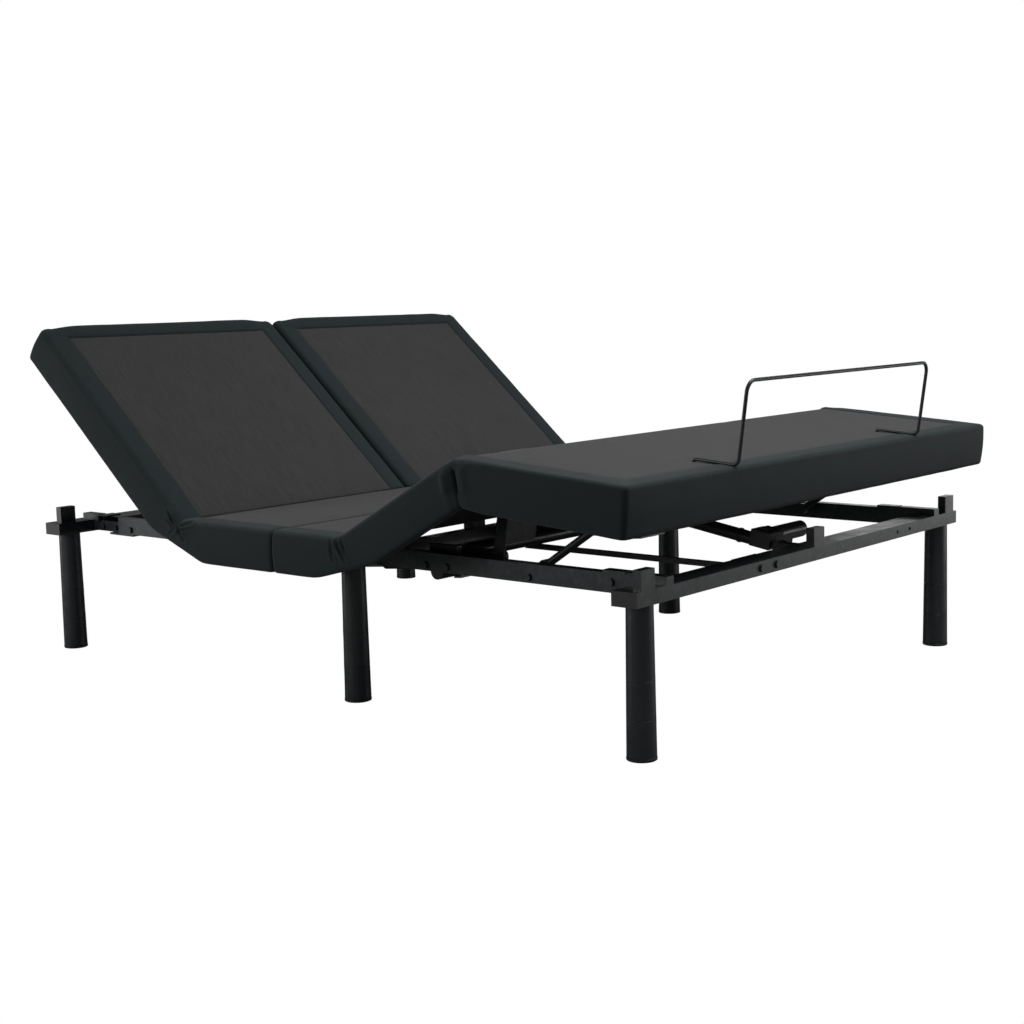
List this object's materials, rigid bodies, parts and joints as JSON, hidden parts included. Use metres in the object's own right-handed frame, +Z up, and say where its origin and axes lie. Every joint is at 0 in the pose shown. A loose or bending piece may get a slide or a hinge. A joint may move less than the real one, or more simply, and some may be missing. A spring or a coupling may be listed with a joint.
{
  "type": "adjustable bed base",
  "caption": "Motorised adjustable bed base with upholstered folding deck sections, split back, steel frame, lifting arms and actuators on legs.",
  "frame": {"origin": "on the floor, at the middle of the base", "axes": "+X to the right seen from the foot end, +Y towards the head, +Z up"},
  "size_m": [1.514, 1.9722, 0.8437],
  "materials": {
    "powder_coat": "satin black powder coat",
    "zinc": "zinc plated",
    "black_plastic": "moulded, fine grain",
    "nylon": "natural nylon",
    "actuator_grey": "grey paint",
    "board": "board under a black dust cloth",
    "border_fabric": "dark charcoal woven border and skirt",
    "inset_fabric": "charcoal woven inset panel",
    "leg_plastic": "black, smooth"
  },
  "bodies": {
    "root": {"foot_crossbar": "powder_coat", "head_crossbar": "powder_coat", "crossbar_end_caps": "black_plastic", "deck_posts": "powder_coat", "front_rails": "powder_coat", "rear_rails": "powder_coat", "rail_splice_plates": "powder_coat", "rail_lap_stubs": "powder_coat", "rail_plates": "powder_coat", "head_cross_tube": "powder_coat", "inner_cross_tubes": "powder_coat", "leg_upper_segments": "leg_plastic", "leg_middle_segments": "leg_plastic", "leg_lower_segments": "leg_plastic", "leg_glides": "black_plastic", "frame_fasteners": "powder_coat", "seat_supports": "black_plastic", "lift_bearings": "powder_coat", "actuator_clevises": "powder_coat", "seat_boards": "board", "seat_sides": "board", "seat_covers": "border_fabric", "seat_hinge_leaves": "zinc", "control_box": "black_plastic", "power_inlet": "black_plastic", "back_gussets": "border_fabric", "thigh_gussets": "border_fabric", "foot_brace": "powder_coat"},
    "back_left": {"back_board_left": "board", "back_sides_left": "board", "back_cover_left": "border_fabric", "back_hinges_left": "zinc"},
    "back_right": {"back_board_right": "board", "back_sides_right": "board", "back_cover_right": "border_fabric", "back_hinges_right": "zinc"},
    "thigh": {"thigh_board": "board", "thigh_sides": "board", "thigh_cover": "border_fabric", "thigh_hinges": "zinc", "thigh_link_brackets": "powder_coat"},
    "foot": {"foot_board": "board", "foot_sides": "board", "foot_cover": "border_fabric", "foot_hinges": "zinc", "foot_strut_brackets": "powder_coat", "retainer_bar": "powder_coat"},
    "back_lift_left": {"back_lift_left": "powder_coat", "lift_discs_left": "nylon"},
    "back_lift_right": {"back_lift_right": "powder_coat", "lift_discs_right": "nylon"},
    "knee_lift": {"knee_lift": "powder_coat"},
    "lift_links": {"lift_links": "powder_coat"},
    "support_struts": {"support_struts": "powder_coat"},
    "foot_actuator": {"foot_actuator": "actuator_grey"},
    "foot_rod": {"foot_rod": "zinc"},
    "head_actuator_left": {"head_actuator_left": "actuator_grey"},
    "head_actuator_right": {"head_actuator_right": "actuator_grey"},
    "head_rod_left": {"head_rod_left": "zinc"},
    "head_rod_right": {"head_rod_right": "zinc"}
  },
  "joints": [
    {"name": "back_left", "type": "hinge", "parent": "root", "child": "back_left", "pos_m": [0, 0.32491, 0.391], "axis": [1, 0, 0], "range_deg": [-40.95, 19.05], "deforming": ["back_gussets"]},
    {"name": "back_right", "type": "hinge", "parent": "root", "child": "back_right", "pos_m": [0, 0.32491, 0.391], "axis": [1, 0, 0], "range_deg": [-40.95, 19.05], "deforming": ["back_gussets"]},
    {"name": "thigh", "type": "hinge", "parent": "root", "child": "thigh", "pos_m": [0, -0.19709, 0.391], "axis": [-1, 0, 0], "range_deg": [-28.9, 3.1], "deforming": ["thigh_gussets"]},
    {"name": "foot", "type": "hinge", "parent": "thigh", "child": "foot", "pos_m": [0, -0.52977, 0.57465], "axis": [1, 0, 0], "range_deg": [-33.47, 3.59]},
    {"name": "knee_lift", "type": "hinge", "parent": "root", "child": "knee_lift", "pos_m": [0, -0.31509, 0.338], "axis": [-1, 0, 0], "range_deg": [-56.96, 6.11]},
    {"name": "lift_links", "type": "hinge", "parent": "thigh", "child": "lift_links", "pos_m": [0, -0.46209, 0.4265], "axis": [1, 0, 0], "range_deg": [-2.9, 0.31]},
    {"name": "support_struts", "type": "hinge", "parent": "root", "child": "support_struts", "pos_m": [0, -0.57409, 0.336], "axis": [-1, 0, 0], "range_deg": [-30.7, 3.29]},
    {"name": "foot_actuator", "type": "hinge", "parent": "root", "child": "foot_actuator", "pos_m": [0, -0.81909, 0.327], "axis": [1, 0, 0], "range_deg": [-5.79, 0.62]},
    {"name": "foot_rod", "type": "slide", "parent": "foot_actuator", "child": "foot_rod", "axis": [0, 0.9863, 0.1649], "range_m": [-0.05212, 0.00559]},
    {"name": "back_lift_left", "type": "hinge", "parent": "root", "child": "back_lift_left", "pos_m": [-0.31, 0.22091, 0.33], "axis": [1, 0, 0], "range_deg": [-29.09, 13.53]},
    {"name": "head_actuator_left", "type": "hinge", "parent": "root", "child": "head_actuator_left", "pos_m": [-0.31, -0.24409, 0.285], "axis": [1, 0, 0], "range_deg": [-0.6155, 0.2863]},
    {"name": "head_rod_left", "type": "slide", "parent": "head_actuator_left", "child": "head_rod_left", "axis": [0, 0.9958, -0.0912], "range_m": [-0.0439, 0.02042]},
    {"name": "back_lift_right", "type": "hinge", "parent": "root", "child": "back_lift_right", "pos_m": [0.31, 0.22091, 0.33], "axis": [1, 0, 0], "range_deg": [-29.09, 13.53]},
    {"name": "head_actuator_right", "type": "hinge", "parent": "root", "child": "head_actuator_right", "pos_m": [0.31, -0.24409, 0.285], "axis": [1, 0, 0], "range_deg": [-0.6155, 0.2863]},
    {"name": "head_rod_right", "type": "slide", "parent": "head_actuator_right", "child": "head_rod_right", "axis": [0, 0.9958, -0.0912], "range_m": [-0.0439, 0.02042]}
  ],
  "couplings": [
    {"joint": "foot", "follows": "thigh", "ratio": 1.1557},
    {"joint": "knee_lift", "follows": "thigh", "ratio": 1.967},
    {"joint": "lift_links", "follows": "thigh", "ratio": 0.1},
    {"joint": "support_struts", "follows": "thigh", "ratio": 1.06},
    {"joint": "foot_actuator", "follows": "thigh", "ratio": 0.2},
    {"joint": "foot_rod", "follows": "thigh", "m_per_rad": 0.10313},
    {"joint": "back_lift_left", "follows": "back_left", "ratio": 0.709},
    {"joint": "head_actuator_left", "follows": "back_left", "ratio": 0.015},
    {"joint": "head_rod_left", "follows": "back_left", "m_per_rad": 0.061306},
    {"joint": "back_lift_right", "follows": "back_right", "ratio": 0.709},
    {"joint": "head_actuator_right", "follows": "back_right", "ratio": 0.015},
    {"joint": "head_rod_right", "follows": "back_right", "m_per_rad": 0.061306}
  ]
}
